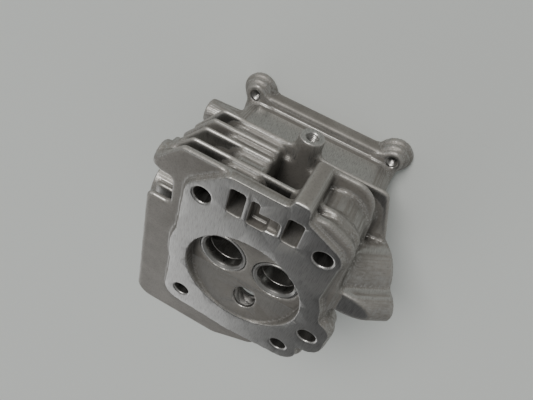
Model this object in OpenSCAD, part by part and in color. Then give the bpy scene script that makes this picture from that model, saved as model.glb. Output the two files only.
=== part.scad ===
// Cylinder head of a small single-cylinder overhead-valve engine.
// The origin is the centre of the combustion chamber on the machined deck.
// Heights below are measured from the deck (0) towards the rocker cover face,
// with the intake side at +x and the pushrod side at +y. deck_up() then turns
// each finished piece over, so that the head stands on its rocker cover face
// with its deck up: +Z out of the deck, +X intake side, -Y pushrod side.

/* [Chamber] */
// bore of the cylinder that the head closes
bore_d = 68; // [62:1:72]
// depth of the flat roof that holds the valve seats
roof_depth = 6.6; // [5:0.2:9]
// depth of the chamber wall on the spark plug side
squish_wall = 0.8; // [0.6:0.2:3]
// y where the roof starts to slope down to the plug side
roof_bend_y = -7; // [-10:1:-4]

/* [Valves] */
// half distance between the two valve axes
valve_x = 16; // [15.5:0.5:17]
// offset of the valve axes towards the pushrods
valve_y = 8; // [6:0.5:10]
// intake valve head diameter
intake_valve_d = 25; // [23:0.5:26]
// exhaust valve head diameter
exhaust_valve_d = 24; // [22:0.5:25]
// radial wall of a seat insert outside the valve
seat_wall = 1.5; // [1:0.1:2]
// height of a seat insert
seat_h = 6.4; // [5:0.2:8]
// radial width of the ground seat face
seat_face = 1.3; // [0.8:0.1:1.8]
// valve stem diameter
stem_d = 5.5; // [5:0.1:6]
// running clearance of the stem in its guide, on the radius
stem_gap = 0.03; // [0.02:0.01:0.06]
// outer diameter of the guides
guide_d = 11; // [10:0.5:12]
// length of the guides
guide_l = 33; // [28:1:36]
// height of the lower end of the guides above the deck
guide_z = 25; // [23:1:28]
// depth of the clip groove in the exhaust guide
clip_groove = 0.7; // [0.5:0.1:1]
// wire diameter of the guide clip
clip_wire = 1.4; // [1.2:0.1:1.8]

/* [Ports] */
// port diameter
port_d = 23; // [20:0.5:24]
// height of the intake port centre at its flange
intake_port_z = 29; // [27:1:31]
// y of the intake port centre
intake_port_y = 14; // [11:1:17]
// x of the intake flange face
intake_face_x = 68; // [67:0.5:71]
// stud spacing of the intake flange
intake_stud_pitch = 42; // [38:1:44]
// tilt of the exhaust flange away from the deck
exhaust_tilt = 30; // [24:1:34]
// distance of the exhaust flange centre from the middle along x
exhaust_face_x = 61; // [59:0.5:63]
// y of the exhaust port centre at the flange
exhaust_port_y = 23.5; // [21:0.5:25]
// height of the exhaust port centre at the flange
exhaust_port_z = 35; // [33:0.5:37]
// stud spacing of the exhaust flange
exhaust_stud_pitch = 40; // [38:0.5:42]
// thread depth of the stud holes
stud_depth = 14; // [10:1:16]

/* [Deck] */
// raised height of the machined deck above the first fin
deck_h = 3; // [2:0.25:4]
// half distance of the upper head bolts
bolt_x_top = 31.4; // [30:0.2:33]
// y of the upper head bolts
bolt_y_top = 50.4; // [49:0.2:52]
// half distance of the lower head bolts
bolt_x_low = 33.5; // [32:0.2:35]
// y of the lower head bolts, below the chamber centre
bolt_y_low = -38.3; // [-40:0.1:-37]
// head bolt bore diameter
bolt_bore = 9.6; // [8.6:0.1:10.4]
// chamfer of the bolt bores on the deck
bolt_chamfer = 0.6; // [0.3:0.1:1]
// x of the blind locating hole
pin_x = -44.8; // [-46:0.2:-44]
// y of the blind locating hole
pin_y = -14.2; // [-16:0.2:-12]
// diameter of the blind locating hole
pin_d = 10.4; // [9:0.2:11]
// depth of the blind locating hole
pin_depth = 11; // [8:1:14]
// pushrod window length along y
window_l = 15.4; // [13:0.2:17]
// pushrod window width along x
window_w = 7.8; // [7:0.2:9]
// distance of the window centres from the middle
window_x = 14.4; // [13.6:0.2:15]
// y of the window centres
window_y = 56.4; // [55:0.2:58]

/* [Fins] */
// thickness of the first fin, next to the deck
fin1_t = 4; // [3:0.25:5]
// thickness of the other fins
fin_t = 3.1; // [2.5:0.1:3.6]
// height of the second fin above the deck
fin2_z = 11; // [10:0.5:12]
// height of the third fin
fin3_z = 21.2; // [20:0.4:22]
// height of the fourth fin
fin4_z = 29.4; // [28.5:0.3:31]
// height of the fifth fin, which is the rocker box floor
fin5_z = 38.5; // [37.5:0.5:40]
// y of the straight top edge of the fins
fin_top = 70; // [68:0.5:71]
// reach of the lower fins to the intake side
fin_left = 67.5; // [66:0.5:70]
// reach of the upper fins to the intake side
fin_left_top = 61.5; // [59:0.5:63]
// reach of the first fin below the chamber centre
fin_low = 76; // [72:1:80]
// how much shorter each further fin is on the plug side
fin_step = 8; // [5:0.5:10]

/* [Rocker box] */
// height of the rocker cover face above the deck
head_h = 78; // [74:1:82]
// half width of the box outside
box_x = 46; // [44:0.5:48]
// y of the outer wall on the pushrod side
box_y_top = 61.6; // [60:0.2:63]
// y of the outer wall on the plug side
box_y_low = -14; // [-16:1:-12]
// wall of the box
box_wall = 4.5; // [3.5:0.25:6]
// thickness of the box floor
floor_t = 9; // [7:0.5:11]
// height of the cover flange lip
lip_h = 8.6; // [7:0.2:10]
// overhang of the lip
lip_out = 5.6; // [4:0.2:6]
// half distance of the cover bolts along x
ear_x = 40.9; // [39:0.1:42]
// y of the upper cover bolts
ear_y_top = 64.8; // [63:0.2:66]
// y of the lower cover bolts
ear_y_low = -17.2; // [-19:0.2:-15]
// radius of the ear at the cover face
ear_r = 9.8; // [9:0.1:10.5]
// cover bolt thread, tapping diameter
cover_tap_d = 5; // [4.8:0.1:5.2]

/* [Bosses] */
// y of the top of the bracket boss
bracket_top = 77; // [74:0.2:79]
// height of the bracket boss axis
bracket_z = 42.4; // [41:0.2:44]
// radius of the bracket boss
bracket_r = 7; // [6:0.1:7.5]
// tapping diameter of the M6 holes
m6_tap_d = 5; // [4.8:0.1:5.2]
// radius of the side bosses for the shroud
side_boss_r = 7.4; // [6.6:0.1:8]
// spark plug thread, tapping diameter
plug_tap_d = 12.7; // [12.4:0.1:12.9]
// length of the plug thread
plug_reach = 19; // [12:0.5:20]
// angle of the plug from the deck normal
plug_angle = 32; // [28:1:36]

/* [Hidden] */
$fn = 96;
eps = 0.01;
big = 300;
// how far the straight sides of an outline lie inside its circles
tuck = 0.01;
bore_r = bore_d / 2;
floor_z = fin5_z + floor_t;
core_h = fin5_z - deck_h + eps;
intake_seat_r = intake_valve_d / 2 + seat_wall;
exhaust_seat_r = exhaust_valve_d / 2 + seat_wall;
// the throat below a seat face
intake_throat = intake_valve_d / 2 - seat_face - 0.4;
exhaust_throat = exhaust_valve_d / 2 - seat_face - 0.4;
guide_r = guide_d / 2;
clip_z = floor_z + 3.4;
clip_gap = 3;
// places that follow from the sizes above
block_y = 75.6;
block_top_z = fin4_z + fin_t;
block_ring = [[-12, 50, 3], [-10, block_y - 1, 1], [-15.8, block_y - 2.8, 2.8], [-15.6, 50, 3]];
slot_x = 49.5;
slot_y = 29;
slot_w = 18;
bolt_pad_z = fin5_z + fin_t + 2;
pocket_x0 = -9;
pocket_x1 = 8.9;
pocket_y = 34;
pocket_top_z = 36;
bracket_x = -0.8;
bracket_l = 33;
bracket_hole_l = 12;
side_boss_root = 40;
recess_deep = 6;
recess_shallow = 3;
ear_t = 4;
ear_l = 9.4;
m8_tap_d = 6.8;
rocker_x = 16;
rocker_y = 32;
rocker_boss_h = 9;
// depths of the cast flanges behind their faces, and the metal round the ports
exhaust_l = 38;
intake_l = 26;
port_wall = 4.5;
port_mouth = 15;
port_start_z = 22;
lobe_r = 8.4;
link_r = 6.4;
stud_turn = 4;
exhaust_stud = [-exhaust_stud_pitch / 2 * cos(stud_turn), -exhaust_stud_pitch / 2 * sin(stud_turn)];
exhaust_turn = 14;
exhaust_bend = [exhaust_turn * cos(exhaust_tilt) - exhaust_face_x, exhaust_port_y,
  exhaust_port_z - exhaust_turn * sin(exhaust_tilt)];
// the intake studs lie on a line turned a little from y
intake_turn = 11;
intake_stud = [intake_stud_pitch / 2 * cos(intake_turn), intake_stud_pitch / 2 * sin(intake_turn)];
side_boss_low = [61, 52, 11.5];
side_boss_high = [61, 51, 56.8];
plug_dir = [0, -sin(plug_angle), cos(plug_angle)];
plug_foot = [-4, -18, 4.9];
plug_hex_r = 11;
box_r = 12;
// the box outline, set in by w; g lets it grow along y
function box_ring(w, r, g = 0) =
  [[box_x - r, box_y_low + r - g, r - w], [box_x - r, box_y_top - r + g, r - w],
  [r - box_x, box_y_top - r + g, r - w], [r - box_x, box_y_low + r - g, r - w]];

// turns a piece over, deck up
module deck_up() {
  rotate([180, 0, 0]) children();
}

// outlines are lists of circles [x, y, radius], joined by straight tangents
function heading(a, b) = let (d = [b[0] - a[0], b[1] - a[1]]) d / norm(d);
function tangent(a, b) =
  let (u = heading(a, b), s = (a[2] - b[2]) / norm([b[0] - a[0], b[1] - a[1]]), c = sqrt(1 - s * s))
  [u[0] * s + u[1] * c, u[1] * s - u[0] * c];
function loop_points(r) = [for (i = [0 : len(r) - 1]) for (k = [0, 1])
  let (a = r[i], b = r[(i + 1) % len(r)], n = tangent(a, b), q = k == 0 ? a : b)
  [q[0] + (q[2] - tuck) * n[0], q[1] + (q[2] - tuck) * n[1]]];

// a convex outline through the circles r, listed counter-clockwise
module outline(r) {
  polygon(loop_points(r));
  for (q = r) translate([q[0], q[1]]) circle(r = q[2]);
}

// the same outline as a plate from z to z + t
module plate(r, z, t) {
  translate([0, 0, z]) linear_extrude(height = t) outline(r);
}

// straight round bar between two points
module bar(a, b, r) {
  v = b - a;
  l = norm(v);
  translate(a)
    rotate([0, acos(v[2] / l), atan2(v[1], v[0])])
      cylinder(h = l, r = r);
}

// a round bore from the deck face, with its chamfer
module deck_bore(x, y, r, depth) {
  translate([x, y, -eps]) cylinder(h = depth + eps, r = r);
  translate([x, y, -eps]) cylinder(h = bolt_chamfer + eps, r1 = r + bolt_chamfer + eps, r2 = r);
}

// deck

// the raised machined face, seen from the deck
module deck_outline() {
  outline([[34.6, -41.6, 10.5], [31, 48, 10], [-30.5, 49.5, 9.2], [-28, -30, 12]]);
  outline([[-34, -39.5, 11.5], [0, -30, 24.2], [34.6, -41.6, 10.5], [20, 0, 12], [-20, 0, 12]]);
  outline([[-45.2, -20, 10.3], [-30, -20, 10], [-30, -2, 8], [-45.5, -6, 9.3]]);
  outline([[30.4, 49.3, 9.6], [18.6, fin_top - 4, 4.3], [-12, fin_top - 4, 4.3], [-31, 50.8, 9.4]]);
  outline(block_ring);
  circle(r = bore_r + 11.6);
}

// fins

module low_fin_outline(low, slot_y) {
  outline([[fin_left - 10.5, 10.5 - low, 10.5], [fin_left - 7.1, slot_y - 3.5, 3.5],
    [0, slot_y - 3.5, 3.5], [-13, 19 - low, 8], [9, 7.5 - low, 7.5]]);
  translate([20, 0]) square([slot_x - 20, 60]);
}

module shroud_lobe() {
  outline([[54.6, 53.3, 5.6], [45.4, fin_top - 1.6, 1.6], [10, fin_top - 3, 3], [10, 51, 3]]);
}

module side_outline() {
  outline([[20, fin_top - 8, 8], [-25, fin_top - 9, 8.5], [-33.9, 56, 9], [-35, 30, 10],
    [-34.5, -38, 14], [20, -40, 14.6]]);
}

module pin_lobe(r) {
  outline([[-45.4, -20, r + 0.8], [-30, -20, 10.5], [-30, -2, 8], [-45.8, -6, r]]);
}

module top_fin_outline(low, left) {
  outline([[left - 9, 9 - low, 9], [left - 3.4, 50, 3.4], [45, fin_top - 1.6, 1.6],
    [10, fin_top - 3, 3], [-10, 8 - low, 8]]);
}

module fins() {
  translate([0, 0, deck_h]) linear_extrude(height = fin1_t) {
    low_fin_outline(fin_low, slot_y);
    shroud_lobe();
    side_outline();
    pin_lobe(10.6);
    outline([[-30, -41, 12.4], [8, 18 - fin_low, 11], [20, 0, 10], [-20, 0, 10]]);
  }
  translate([0, 0, fin2_z]) linear_extrude(height = fin_t) {
    low_fin_outline(fin_low - fin_step, slot_y);
    shroud_lobe();
    side_outline();
  }
  translate([0, 0, fin3_z]) linear_extrude(height = fin_t) {
    low_fin_outline(fin_low - 2 * fin_step, slot_y - 3);
    outline([[20, 42, 4], [fin_left_top - 3.4, 50, 3.4], [45, fin_top - 1.6, 1.6],
      [10, fin_top - 3, 3]]);
    outline([[20, 44, 8], [-33, 50, 8.5], [-35, 30, 10], [-34.5, -39, 14.8], [20, -40, 15]]);
  }
  translate([0, 0, fin4_z]) linear_extrude(height = fin_t) {
    top_fin_outline(fin_low - 3 * fin_step, fin_left_top);
    outline([[-12.4, -30, 3], [-12.4, block_y - 3.6, 3], [-29, block_y - 14.6, 14],
      [-38, 30, 10], [-34.5, -36, 12]]);
  }
  translate([0, 0, fin5_z]) linear_extrude(height = fin_t) {
    top_fin_outline(fin_low - 4 * fin_step, fin_left_top - 1);
    outline([[20, fin_top - 8, 8], [-43, fin_top - 4.5, 4], [-51.5, 42, 4.5], [-50, 8, 6],
      [-34.5, -30, 10], [20, -34, 10]]);
  }
}

// body

module core() {
  // the solid middle with the head bolt columns at its corners
  plate([[31, -30, 10], [31, 44, 10], [-31, 44, 10], [-33, -30, 10]], deck_h, core_h);
  for (s = [-1, 1]) {
    plate([[s * bolt_x_top, bolt_y_top, 10], [s * 28, 40, 10]], deck_h, core_h);
    plate([[s * bolt_x_low, bolt_y_low, 9], [s * 26, -20, 9]], deck_h, bolt_pad_z - deck_h);
  }
}

// the two pushrod tunnels, with the cooling pocket left open between them
module tunnels() {
  plate([[23, 62, 4.3], [11.9, 63.3, 3], [11.9, 40, 3], [23, 40, 4.3]], deck_h, core_h);
  plate([[32, 61.5, 4.6], [20, 62, 4.3], [20, 50, 4.3], [32, 50, 4.6]], fin3_z, fin5_z - fin3_z + eps);
  plate(block_ring, 0, block_top_z);
  // round bolt column beside the exhaust, the plain wall below it and the metal round the blind hole
  plate([[-28, 53.8, 13], [-30, 45, 12]], deck_h, fin4_z + 1 - deck_h);
  plate([[-14, 40, 3], [-33.9, 53.6, 8.4], [-35.2, 30, 10.2], [-35.4, -10, 12.6], [-14, 0, 3]],
    deck_h, fin4_z - deck_h);
  plate([[-45.2, -20, 10.7], [-30, -20, 10.4], [-30, -2, 8.2], [-45.6, -6, 9.8]],
    deck_h, pin_depth + 4 - deck_h);
}

module rocker_box() {
  plate(box_ring(0, box_r), fin5_z, head_h - fin5_z);
  plate(box_ring(0, box_r, lip_out), head_h - lip_h, lip_h);
  for (sx = [-1, 1])
    for (y = [ear_y_low, ear_y_top])
      ear(sx, y);
  // web under the floor
  plate(box_ring(1, 11), fin4_z, fin5_z - fin4_z + eps);
}

// one cover bolt ear: two rings and a boss under the cover face
module ear(sx, y) {
  inner = y > 0 ? -14 : 14;
  root = [sx * (ear_x - 9), y + inner, 9];
  plate(ccw(sx, y, ear_r, root), head_h - ear_t, ear_t);
  plate(ccw(sx, y, ear_r - 1.5, root), head_h - ear_t - 2.6, 2.6 + eps);
  plate(ccw(sx, y, ear_r - 2.9, root), head_h - ear_l, ear_l);
}

function ccw(sx, y, r, root) = [[sx * ear_x, y, r], root];

module intake_arm() {
  bar([valve_x, valve_y, port_start_z], [intake_face_x - 8, intake_port_y, intake_port_z],
    port_d / 2 + port_wall);
  translate([intake_face_x, 0, 0]) rotate([0, -90, 0]) linear_extrude(height = intake_l) intake_flange();
}

// the exhaust arm is cut level behind the deck
module exhaust_arm() {
  difference() {
    union() {
      bar([-valve_x, valve_y, 20], [9 - exhaust_face_x, exhaust_port_y, exhaust_port_z - 4],
        port_d / 2 + port_wall);
      exhaust_frame() translate([0, 0, -exhaust_l]) linear_extrude(height = exhaust_l) exhaust_flange();
    }
    translate([-big / 2, -big / 2, -big]) cube([big, big, big + deck_h + 1.5]);
  }
}

// the exhaust face: local z points out of the port, local x along its long side
module exhaust_frame() {
  translate([-exhaust_face_x, exhaust_port_y, exhaust_port_z])
    rotate([0, exhaust_tilt - 90, 0]) children();
}

module exhaust_flange() {
  outline([[exhaust_stud[0], exhaust_stud[1], link_r], [-exhaust_stud[0], -exhaust_stud[1], link_r]]);
  for (s = [-1, 1])
    translate([s * exhaust_stud[0], s * exhaust_stud[1]]) circle(r = lobe_r);
  circle(r = port_d / 2 + 5.5);
}

// seen along -X: local x is height, local y is y
module intake_flange() {
  translate([intake_port_z, intake_port_y]) {
    circle(r = port_d / 2 + port_wall);
    outline([[intake_stud[1], intake_stud[0], 7.2], [-intake_stud[1], -intake_stud[0], 7.2]]);
  }
}

module bosses() {
  // bridge over the cooling pocket, under the bracket boss
  translate([pocket_x0 - 1, pocket_y, pocket_top_z])
    cube([pocket_x1 - pocket_x0 + 2, box_y_top - pocket_y, fin5_z - pocket_top_z + eps]);
  // bracket boss along Y, in front of the rocker box
  translate([bracket_x, bracket_top - bracket_l, bracket_z])
    rotate([-90, 0, 0]) cylinder(h = bracket_l, r = bracket_r);
  // two shroud bosses on the intake side
  for (p = [side_boss_low, side_boss_high])
    bar([side_boss_root, p[1], p[2]], p, side_boss_r);
  // spark plug boss
  bar(plug_foot + 9 * plug_dir, plug_foot + (plug_reach + 5) * plug_dir, plug_hex_r + 3);
}

module floor_bosses() {
  for (s = [-1, 1]) {
    translate([s * valve_x, valve_y, fin5_z]) cylinder(h = floor_t + 2.4, r = guide_r + 3);
    translate([s * rocker_x, rocker_y, fin5_z]) cylinder(h = floor_t + rocker_boss_h, r = 7.4);
    translate([s * bolt_x_top, bolt_y_top, fin5_z]) cylinder(h = floor_t + 1.2, r = 8.4);
  }
}

module outer_body() {
  linear_extrude(height = deck_h + eps) deck_outline();
  fins();
  core();
  tunnels();
  rocker_box();
  intake_arm();
  exhaust_arm();
  bosses();
}

// hollows

module chamber() {
  // the round mouth and the flat roof over the valves
  intersection() {
    translate([0, 0, -eps]) cylinder(h = roof_depth + eps, r = bore_r);
    union() {
      translate([-bore_r - 1, roof_bend_y, -1]) cube([bore_d + 2, bore_d, roof_depth + 1]);
      rotate([90, 0, 90]) translate([0, 0, -bore_r - 1]) linear_extrude(height = bore_d + 2)
        polygon([[-bore_r - 1, -1], [roof_bend_y + 1, -1], [roof_bend_y + 1, roof_depth],
          [roof_bend_y, roof_depth], [-bore_r, squish_wall], [-bore_r - 1, squish_wall]]);
    }
  }
}

module valve_hollow(s, seat_r, throat_r) {
  translate([s * valve_x, valve_y, roof_depth - eps]) cylinder(h = seat_h + eps, r = seat_r);
  translate([s * valve_x, valve_y, roof_depth]) cylinder(h = port_start_z - roof_depth, r = throat_r);
  translate([s * valve_x, valve_y, port_start_z]) sphere(r = throat_r);
  translate([s * valve_x, valve_y, guide_z]) cylinder(h = guide_l, r = guide_r);
}

module port_hollows() {
  valve_hollow(1, intake_seat_r, intake_throat);
  valve_hollow(-1, exhaust_seat_r, exhaust_throat);
  bar([valve_x, valve_y, port_start_z], [intake_face_x - port_mouth + 1, intake_port_y, intake_port_z],
    port_d / 2 - 1.5);
  translate([intake_face_x - port_mouth, intake_port_y, intake_port_z])
    rotate([0, 90, 0]) cylinder(h = port_mouth + 1, r = port_d / 2);
  bar([-valve_x, valve_y, port_start_z - 1], exhaust_bend, port_d / 2 - 1.5);
  exhaust_frame() translate([0, 0, -port_mouth]) cylinder(h = port_mouth + 1, r = port_d / 2);
  for (s = [-1, 1]) {
    exhaust_frame() translate([s * exhaust_stud[0], s * exhaust_stud[1], -stud_depth])
      cylinder(h = stud_depth + 1, r = m8_tap_d / 2);
    translate([intake_face_x - stud_depth, intake_port_y, intake_port_z])
      translate([0, s * intake_stud[0], s * intake_stud[1]])
        rotate([0, 90, 0]) cylinder(h = stud_depth + 1, r = m6_tap_d / 2);
  }
}

module deck_holes() {
  for (s = [-1, 1]) {
    deck_bore(s * bolt_x_top, bolt_y_top, bolt_bore / 2, floor_z + 4);
    deck_bore(s * bolt_x_low, bolt_y_low, bolt_bore / 2, bolt_pad_z + 1);
    translate([s * window_x - window_w / 2, window_y - window_l / 2, -eps])
      cube([window_w, window_l, floor_z + 1]);
  }
  deck_bore(pin_x, pin_y, pin_d / 2, pin_depth);
  // stepped oil recess between the windows
  translate([-2, 48, -eps]) cube([9.4, 10, recess_deep]);
  translate([3.2, 48, -eps]) cube([4.2, 15.4, recess_deep]);
  translate([-8, 49.5, -eps]) cube([7, 8.6, recess_shallow]);
}

module air_gaps() {
  // cooling pocket between the tunnels, open to the top
  translate([pocket_x0, pocket_y, fin2_z + fin_t])
    cube([pocket_x1 - pocket_x0, big, pocket_top_z - fin2_z - fin_t]);
  // clearance slot in the three lower fins
  translate([slot_x, slot_y, deck_h - eps])
    cube([big, slot_w, fin3_z + fin_t - deck_h + 2 * eps]);
  // spark plug socket
  bar(plug_foot + plug_reach * plug_dir, plug_foot + (plug_reach + 60) * plug_dir, plug_hex_r);
}

module box_hollow() {
  difference() {
    plate(box_ring(box_wall, 9), floor_z, head_h - floor_z + 1);
    floor_bosses();
  }
}

module small_holes() {
  for (sx = [-1, 1]) {
    for (y = [ear_y_low, ear_y_top])
      translate([sx * ear_x, y, head_h - ear_l - 1])
        cylinder(h = ear_l + 2, r = cover_tap_d / 2);
    translate([sx * rocker_x, rocker_y, floor_z - 5]) cylinder(h = 16, r = m8_tap_d / 2);
  }
  translate([bracket_x, bracket_top - bracket_hole_l, bracket_z])
    rotate([-90, 0, 0]) cylinder(h = bracket_hole_l + 2, r = m6_tap_d / 2);
  for (p = [side_boss_low, side_boss_high])
    translate([p[0] - stud_depth, p[1], p[2]])
      rotate([0, 90, 0]) cylinder(h = stud_depth + 1, r = m6_tap_d / 2);
  bar(plug_foot - 8 * plug_dir, plug_foot + (plug_reach + 1) * plug_dir, plug_tap_d / 2);
}

module casting() {
  color([0.62, 0.60, 0.57]) deck_up() difference() {
    outer_body();
    chamber();
    port_hollows();
    deck_holes();
    air_gaps();
    box_hollow();
    small_holes();
  }
}

// pressed-in pieces

module seat(s, seat_r, valve_r, throat_r) {
  // 45 degree ground face, then the throat
  translate([s * valve_x, valve_y, roof_depth])
    rotate_extrude()
      polygon([[valve_r, 0], [seat_r, 0], [seat_r, seat_h], [throat_r, seat_h],
        [throat_r, valve_r - throat_r]]);
}

module intake_seat() {
  color([0.45, 0.44, 0.44]) deck_up() seat(1, intake_seat_r, intake_valve_d / 2 - 0.1, intake_throat);
}

module exhaust_seat() {
  color([0.42, 0.41, 0.41]) deck_up() seat(-1, exhaust_seat_r, exhaust_valve_d / 2 - 0.1, exhaust_throat);
}

module guide(s) {
  difference() {
    translate([s * valve_x, valve_y, guide_z]) cylinder(h = guide_l, r = guide_r);
    translate([s * valve_x, valve_y, guide_z - 1]) cylinder(h = guide_l + 2, r = stem_d / 2 + stem_gap);
  }
}

module intake_guide() {
  color([0.36, 0.35, 0.33]) deck_up() guide(1);
}

module exhaust_guide() {
  color([0.36, 0.35, 0.33]) deck_up() difference() {
    guide(-1);
    clip_ring();
  }
}

// the round wire of the clip, in its groove
module clip_ring() {
  translate([-valve_x, valve_y, clip_z])
    rotate_extrude() translate([guide_r + clip_wire / 2 - clip_groove, 0]) circle(r = clip_wire / 2);
}

module guide_clip() {
  color([0.25, 0.25, 0.27]) deck_up() difference() {
    clip_ring();
    // the gap between the wire's ends
    translate([-valve_x, valve_y - clip_gap / 2, clip_z - clip_wire])
      cube([2 * guide_d, clip_gap, 2 * clip_wire]);
  }
}

casting();
intake_seat();
exhaust_seat();
intake_guide();
exhaust_guide();
guide_clip();
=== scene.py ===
import bpy
import math
import numpy as np
from mathutils import Matrix, Vector


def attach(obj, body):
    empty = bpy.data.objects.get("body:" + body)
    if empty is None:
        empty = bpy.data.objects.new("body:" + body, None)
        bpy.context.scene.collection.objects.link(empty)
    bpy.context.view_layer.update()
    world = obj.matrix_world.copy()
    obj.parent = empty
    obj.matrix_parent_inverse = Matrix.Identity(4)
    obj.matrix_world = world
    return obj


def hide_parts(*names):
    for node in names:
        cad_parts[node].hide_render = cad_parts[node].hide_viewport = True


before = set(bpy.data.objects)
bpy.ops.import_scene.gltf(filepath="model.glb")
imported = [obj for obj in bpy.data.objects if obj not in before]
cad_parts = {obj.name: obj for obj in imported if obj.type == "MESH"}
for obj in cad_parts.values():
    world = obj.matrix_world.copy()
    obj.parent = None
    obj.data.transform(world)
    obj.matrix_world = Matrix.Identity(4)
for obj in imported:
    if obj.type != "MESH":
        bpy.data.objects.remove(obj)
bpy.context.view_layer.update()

# Sizes are in millimetres in the head's own way of reading: x to the intake side, y to the
# pushrod side, z up from the deck to the rocker cover face. toFrame turns them over and into
# metres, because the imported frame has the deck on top.


def toFrame(points):
    # (x, -y, -z) / 1000
    return points * np.array([1.0, -1.0, -1.0]) / 1000.0


# The casting is a field of distances on a grid, negative inside the metal.

casting = dict(
    step=0.6, quickStep=0.9, low=(-75.6, -78.6, -1.8), high=(71.4, 80.4, 79.8),
    far=8.0, fillet=1.7, edge=0.55, triangles=186000,
    deckHeight=3.0, headHeight=78.0,
    finLevels=(3.0, 11.0, 21.2, 29.4, 38.5), firstFin=4.0, fin=3.1, finTop=70.0,
    boreRadius=34.0, roofDepth=6.6, squish=0.7, spare=1.2, shadeReach=3.0, roofBend=-7.0,
    valveX=16.0, valveY=8.0, seatRadii=(14.0, 13.5), seatHeight=6.4,
    throatRadii=(10.8, 10.3), portBend=22, guideRadius=5.5,
    boltHole=4.8, upperBolt=(31.4, 50.4), lowerBolt=(33.5, -38.3), dowel=(-44.8, -14.2, 5.2, 11),
    sideBosses=((11.5, 52), (56.8, 51)), bracket=(-0.8, 42.4), rockerStud=(16, 32),
    intakeStudReach=21, intakeStudSlant=11, exhaustStud=(19.95, 1.4), tapM6=3.05, tapM8=4.05,
    boxHalf=46.0, boxTop=61.6, boxLow=-14.0, boxWall=4.5, boxFloor=47.5,
    lipHeight=8.6, lipOut=5.6, earX=40.9, earTop=64.8, earLow=-17.2,
    intakeFace=68.0, intakePort=(14.0, 29.0), portRadius=11.5,
    exhaustTilt=30.0, exhaustPort=(-61.0, 23.5, 35.0),
    plugFoot=(-4.0, -18.0, 4.9), plugAngle=32.0, plugReach=19.0, plugRadius=6.8)

step = casting["step"]
axes = [np.arange(lo, hi, step, dtype=np.float32)
        for lo, hi in zip(casting["low"], casting["high"])]
field = np.full([len(a) for a in axes], casting["far"], dtype=np.float32)


def patch(low, high, margin):
    # the piece of the grid round a box, with its three coordinate arrays
    slices = []
    for axis, lo, hi in zip(axes, low, high):
        first = max(0, int((lo - margin - axis[0]) / step))
        last = min(len(axis), int((hi + margin - axis[0]) / step) + 2)
        slices.append(slice(first, last))
    x, y, z = (axis[s] for axis, s in zip(axes, slices))
    return tuple(slices), x[:, None, None], y[None, :, None], z[None, None, :]


def add(shape, margin=None):
    # union: the smaller distance
    low, high, distance = shape
    where, x, y, z = patch(low, high, casting["far"] if margin is None else margin)
    field[where] = np.minimum(field[where], distance(x, y, z))


def cut(shape, margin=2.5):
    # difference: the larger of the distance and minus the tool's distance
    low, high, distance = shape
    where, x, y, z = patch(low, high, margin)
    field[where] = np.maximum(field[where], -distance(x, y, z))


def both(a, b, edge):
    # where two distances meet at a right angle, with the corner rounded to the radius edge
    a, b = a + edge, b + edge
    return np.minimum(np.maximum(a, b), 0) + np.hypot(np.maximum(a, 0), np.maximum(b, 0)) - edge


def ringDistance(ring, x, y):
    # the convex outline round circles (x, y, radius) listed anticlockwise: the largest distance
    # from its straight sides and, inside each circle's own sector, from the circle
    normals = []
    for (ax, ay, ar), (bx, by, br) in zip(ring, ring[1:] + ring[:1]):
        length = math.hypot(bx - ax, by - ay)
        ux, uy, s = (bx - ax) / length, (by - ay) / length, (ar - br) / length
        c = math.sqrt(1 - s * s)
        normals.append((ux * s + uy * c, uy * s - ux * c))
    best = None
    for (cx, cy, r), (nx, ny) in zip(ring, normals):
        side = (x - cx) * nx + (y - cy) * ny - r
        best = side if best is None else np.maximum(best, side)
    for (cx, cy, r), before, after in zip(ring, normals[-1:] + normals[:-1], normals):
        vx, vy = x - cx, y - cy
        left = before[0] * vy - before[1] * vx >= 0
        right = vx * after[1] - vy * after[0] >= 0
        wide = before[0] * after[1] - before[1] * after[0] < -1e-9
        sector = (left | right) if wide else (left & right)
        best = np.where(sector, np.maximum(best, np.hypot(vx, vy) - r), best)
    return best


def slab(ring, z0, z1, edge=0.0):
    # an outline pulled up from z0 to z1
    ring = [tuple(map(float, q)) for q in ring]
    low = (min(q[0] - q[2] for q in ring), min(q[1] - q[2] for q in ring), z0)
    high = (max(q[0] + q[2] for q in ring), max(q[1] + q[2] for q in ring), z1)
    middle, half = (z0 + z1) / 2, (z1 - z0) / 2
    return low, high, lambda x, y, z: both(
        ringDistance(ring, x, y), np.abs(z - middle) - half, edge)


def rod(a, b, radius, endRadius=None, edge=0.0):
    # a round bar from a to b, its radius changing evenly to endRadius
    a, b = np.array(a, float), np.array(b, float)
    length = float(np.linalg.norm(b - a))
    u = (b - a) / length
    last = radius if endRadius is None else endRadius
    reach = max(radius, last)
    low, high = np.minimum(a, b) - reach, np.maximum(a, b) + reach

    def distance(x, y, z):
        px, py, pz = x - a[0], y - a[1], z - a[2]
        t = px * u[0] + py * u[1] + pz * u[2]
        radial = np.sqrt(np.maximum(px * px + py * py + pz * pz - t * t, 0))
        wall = radius + (last - radius) * np.clip(t / length, 0, 1)
        return both((radial - wall).astype(np.float32), np.abs(t - length / 2) - length / 2, edge)
    return low, high, distance


def brick(low, high, edge=0.0):
    # a box with rounded edges
    middle = [(a + b) / 2 for a, b in zip(low, high)]
    half = [(b - a) / 2 - edge for a, b in zip(low, high)]

    def distance(x, y, z):
        qx, qy, qz = (np.abs(v - m) - h for v, m, h in zip((x, y, z), middle, half))
        outside = np.sqrt(np.maximum(qx, 0) ** 2 + np.maximum(qy, 0) ** 2 + np.maximum(qz, 0) ** 2)
        return outside + np.minimum(np.maximum(np.maximum(qx, qy), qz), 0) - edge
    return low, high, distance


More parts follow.
